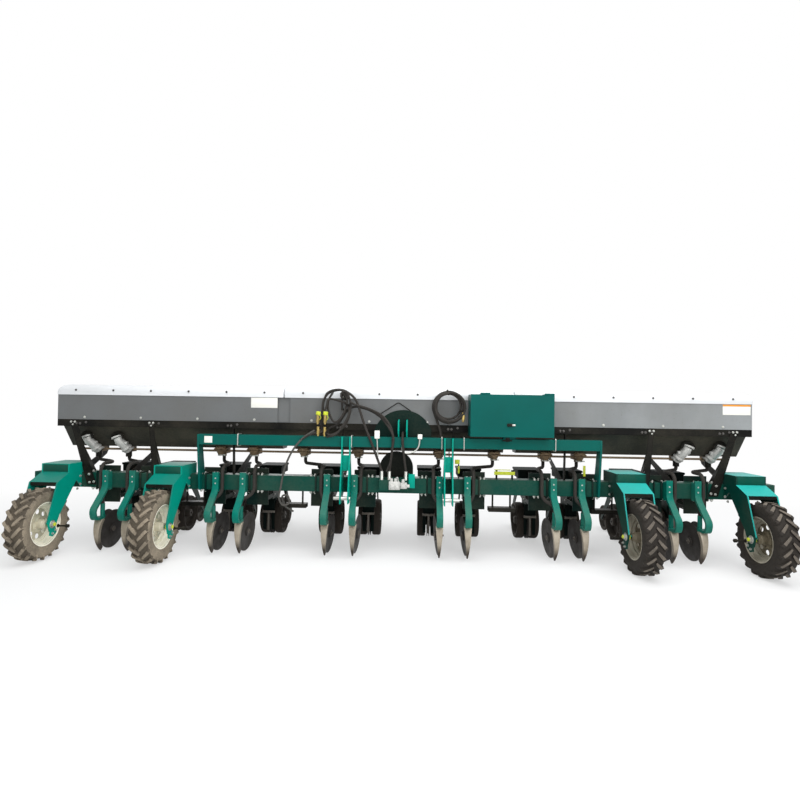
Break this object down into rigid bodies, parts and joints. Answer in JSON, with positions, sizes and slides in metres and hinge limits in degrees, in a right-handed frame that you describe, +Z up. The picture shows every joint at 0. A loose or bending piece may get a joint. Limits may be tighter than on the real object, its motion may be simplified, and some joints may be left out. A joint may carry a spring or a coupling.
{
  "type": "mounted precision planter",
  "caption": "Mounted precision planter: seeding rows and fertilizer openers on a square toolbar, a full-width lidded hopper above and lugged carrying wheels in front.",
  "frame": {"origin": "on the ground at the middle of the bounding box", "axes": "+X along the toolbar to the right as seen from the tractor, +Y to the rear, away from the tractor, +Z up"},
  "size_m": [7.3, 2.23, 1.64],
  "materials": {
    "dark_green_paint": "satin dark green paint",
    "green_paint": "satin green paint",
    "teal_paint": "satin teal paint",
    "grey_paint": "satin grey paint",
    "white_plastic": "smooth white plastic",
    "black_paint": "satin black paint",
    "tan_plastic": "dusty tan plastic",
    "bare_steel": "bare steel",
    "dark_steel": "dark rolled steel",
    "black_hose": "matte black rubber",
    "tyre": "matte tyre rubber",
    "wheel_rubber": "matte wheel rubber",
    "cream_paint": "satin cream paint",
    "black_plastic": "matte black plastic"
  },
  "bodies": {
    "planter_frame": {"beam_legs": "green_paint", "fertilizer_hoses": "black_hose", "fertilizer_meters": "tan_plastic", "foot_steps": "black_paint", "hopper_channels": "black_paint", "hopper_left": "grey_paint", "hopper_middle": "grey_paint", "hopper_right": "grey_paint", "hopper_struts": "black_paint", "hydraulic_lines": "black_hose", "lower_hitch_plates": "green_paint", "mast": "dark_green_paint", "opener_discs": "dark_steel", "opener_knives": "bare_steel", "opener_shanks": "teal_paint", "row_frames": "dark_green_paint", "row_heads": "dark_green_paint", "row_links": "dark_green_paint", "seed_boxes": "black_plastic", "seed_discs": "dark_steel", "toolbar": "dark_green_paint", "toolbox": "green_paint", "upper_beam": "green_paint", "wheel_forks": "teal_paint"},
    "ground_wheel_1": {"ground_wheel_rim_1": "cream_paint", "ground_wheel_tyre_1": "tyre"},
    "ground_wheel_2": {"ground_wheel_rim_2": "cream_paint", "ground_wheel_tyre_2": "tyre"},
    "ground_wheel_3": {"ground_wheel_rim_3": "cream_paint", "ground_wheel_tyre_3": "tyre"},
    "ground_wheel_4": {"ground_wheel_rim_4": "cream_paint", "ground_wheel_tyre_4": "tyre"},
    "gauge_pair_01": {"gauge_wheels_01": "wheel_rubber"},
    "gauge_pair_02": {"gauge_wheels_02": "wheel_rubber"},
    "gauge_pair_03": {"gauge_wheels_03": "wheel_rubber"},
    "gauge_pair_04": {"gauge_wheels_04": "wheel_rubber"},
    "gauge_pair_05": {"gauge_wheels_05": "wheel_rubber"},
    "gauge_pair_06": {"gauge_wheels_06": "wheel_rubber"},
    "gauge_pair_07": {"gauge_wheels_07": "wheel_rubber"},
    "gauge_pair_08": {"gauge_wheels_08": "wheel_rubber"},
    "gauge_pair_09": {"gauge_wheels_09": "wheel_rubber"},
    "gauge_pair_10": {"gauge_wheels_10": "wheel_rubber"},
    "gauge_pair_11": {"gauge_wheels_11": "wheel_rubber"},
    "gauge_pair_12": {"gauge_wheels_12": "wheel_rubber"},
    "press_01": {"press_wheel_01": "wheel_rubber"},
    "press_02": {"press_wheel_02": "wheel_rubber"},
    "press_03": {"press_wheel_03": "wheel_rubber"},
    "press_04": {"press_wheel_04": "wheel_rubber"},
    "press_05": {"press_wheel_05": "wheel_rubber"},
    "press_06": {"press_wheel_06": "wheel_rubber"},
    "press_07": {"press_wheel_07": "wheel_rubber"},
    "press_08": {"press_wheel_08": "wheel_rubber"},
    "press_09": {"press_wheel_09": "wheel_rubber"},
    "press_10": {"press_wheel_10": "wheel_rubber"},
    "press_11": {"press_wheel_11": "wheel_rubber"},
    "press_12": {"press_wheel_12": "wheel_rubber"},
    "lid_left": {"hopper_lid_left": "white_plastic"},
    "lid_middle": {"hopper_lid_middle": "white_plastic"},
    "lid_right": {"hopper_lid_right": "white_plastic"},
    "box_door": {"toolbox_door": "green_paint"}
  },
  "joints": [
    {"name": "ground_wheel_1_spin", "type": "hinge", "parent": "planter_frame", "child": "ground_wheel_1", "pos_m": [-3.3, -0.785, 0.33], "axis": [1, 0, 0], "continuous": true},
    {"name": "ground_wheel_2_spin", "type": "hinge", "parent": "planter_frame", "child": "ground_wheel_2", "pos_m": [-2.2, -0.785, 0.33], "axis": [1, 0, 0], "continuous": true},
    {"name": "ground_wheel_3_spin", "type": "hinge", "parent": "planter_frame", "child": "ground_wheel_3", "pos_m": [2.2, -0.785, 0.33], "axis": [1, 0, 0], "continuous": true},
    {"name": "ground_wheel_4_spin", "type": "hinge", "parent": "planter_frame", "child": "ground_wheel_4", "pos_m": [3.3, -0.785, 0.33], "axis": [1, 0, 0], "continuous": true},
    {"name": "gauge_pair_01_spin", "type": "hinge", "parent": "planter_frame", "child": "gauge_pair_01", "pos_m": [-2.97, 0.485, 0.2], "axis": [1, 0, 0], "continuous": true},
    {"name": "gauge_pair_02_spin", "type": "hinge", "parent": "planter_frame", "child": "gauge_pair_02", "pos_m": [-2.53, 0.485, 0.2], "axis": [1, 0, 0], "continuous": true},
    {"name": "gauge_pair_03_spin", "type": "hinge", "parent": "planter_frame", "child": "gauge_pair_03", "pos_m": [-1.87, 0.485, 0.2], "axis": [1, 0, 0], "continuous": true},
    {"name": "gauge_pair_04_spin", "type": "hinge", "parent": "planter_frame", "child": "gauge_pair_04", "pos_m": [-1.43, 0.485, 0.2], "axis": [1, 0, 0], "continuous": true},
    {"name": "gauge_pair_05_spin", "type": "hinge", "parent": "planter_frame", "child": "gauge_pair_05", "pos_m": [-0.77, 0.485, 0.2], "axis": [1, 0, 0], "continuous": true},
    {"name": "gauge_pair_06_spin", "type": "hinge", "parent": "planter_frame", "child": "gauge_pair_06", "pos_m": [-0.33, 0.485, 0.2], "axis": [1, 0, 0], "continuous": true},
    {"name": "gauge_pair_07_spin", "type": "hinge", "parent": "planter_frame", "child": "gauge_pair_07", "pos_m": [0.33, 0.485, 0.2], "axis": [1, 0, 0], "continuous": true},
    {"name": "gauge_pair_08_spin", "type": "hinge", "parent": "planter_frame", "child": "gauge_pair_08", "pos_m": [0.77, 0.485, 0.2], "axis": [1, 0, 0], "continuous": true},
    {"name": "gauge_pair_09_spin", "type": "hinge", "parent": "planter_frame", "child": "gauge_pair_09", "pos_m": [1.43, 0.485, 0.2], "axis": [1, 0, 0], "continuous": true},
    {"name": "gauge_pair_10_spin", "type": "hinge", "parent": "planter_frame", "child": "gauge_pair_10", "pos_m": [1.87, 0.485, 0.2], "axis": [1, 0, 0], "continuous": true},
    {"name": "gauge_pair_11_spin", "type": "hinge", "parent": "planter_frame", "child": "gauge_pair_11", "pos_m": [2.53, 0.485, 0.2], "axis": [1, 0, 0], "continuous": true},
    {"name": "gauge_pair_12_spin", "type": "hinge", "parent": "planter_frame", "child": "gauge_pair_12", "pos_m": [2.97, 0.485, 0.2], "axis": [1, 0, 0], "continuous": true},
    {"name": "press_01_spin", "type": "hinge", "parent": "planter_frame", "child": "press_01", "pos_m": [-2.97, 0.965, 0.15], "axis": [1, 0, 0], "continuous": true},
    {"name": "press_02_spin", "type": "hinge", "parent": "planter_frame", "child": "press_02", "pos_m": [-2.53, 0.965, 0.15], "axis": [1, 0, 0], "continuous": true},
    {"name": "press_03_spin", "type": "hinge", "parent": "planter_frame", "child": "press_03", "pos_m": [-1.87, 0.965, 0.15], "axis": [1, 0, 0], "continuous": true},
    {"name": "press_04_spin", "type": "hinge", "parent": "planter_frame", "child": "press_04", "pos_m": [-1.43, 0.965, 0.15], "axis": [1, 0, 0], "continuous": true},
    {"name": "press_05_spin", "type": "hinge", "parent": "planter_frame", "child": "press_05", "pos_m": [-0.77, 0.965, 0.15], "axis": [1, 0, 0], "continuous": true},
    {"name": "press_06_spin", "type": "hinge", "parent": "planter_frame", "child": "press_06", "pos_m": [-0.33, 0.965, 0.15], "axis": [1, 0, 0], "continuous": true},
    {"name": "press_07_spin", "type": "hinge", "parent": "planter_frame", "child": "press_07", "pos_m": [0.33, 0.965, 0.15], "axis": [1, 0, 0], "continuous": true},
    {"name": "press_08_spin", "type": "hinge", "parent": "planter_frame", "child": "press_08", "pos_m": [0.77, 0.965, 0.15], "axis": [1, 0, 0], "continuous": true},
    {"name": "press_09_spin", "type": "hinge", "parent": "planter_frame", "child": "press_09", "pos_m": [1.43, 0.965, 0.15], "axis": [1, 0, 0], "continuous": true},
    {"name": "press_10_spin", "type": "hinge", "parent": "planter_frame", "child": "press_10", "pos_m": [1.87, 0.965, 0.15], "axis": [1, 0, 0], "continuous": true},
    {"name": "press_11_spin", "type": "hinge", "parent": "planter_frame", "child": "press_11", "pos_m": [2.53, 0.965, 0.15], "axis": [1, 0, 0], "continuous": true},
    {"name": "press_12_spin", "type": "hinge", "parent": "planter_frame", "child": "press_12", "pos_m": [2.97, 0.965, 0.15], "axis": [1, 0, 0], "continuous": true},
    {"name": "lid_left_hinge", "type": "hinge", "parent": "planter_frame", "child": "lid_left", "pos_m": [-2.3255, 0.336, 1.544], "axis": [-1, 0, 0], "range_deg": [0, 75]},
    {"name": "lid_middle_hinge", "type": "hinge", "parent": "planter_frame", "child": "lid_middle", "pos_m": [0, 0.336, 1.544], "axis": [-1, 0, 0], "range_deg": [0, 75]},
    {"name": "lid_right_hinge", "type": "hinge", "parent": "planter_frame", "child": "lid_right", "pos_m": [2.3255, 0.336, 1.544], "axis": [-1, 0, 0], "range_deg": [0, 75]},
    {"name": "toolbox_door_hinge", "type": "hinge", "parent": "planter_frame", "child": "box_door", "pos_m": [1.081, -0.5865, 1.598], "axis": [-1, 0, 0], "range_deg": [0, 100]}
  ]
}
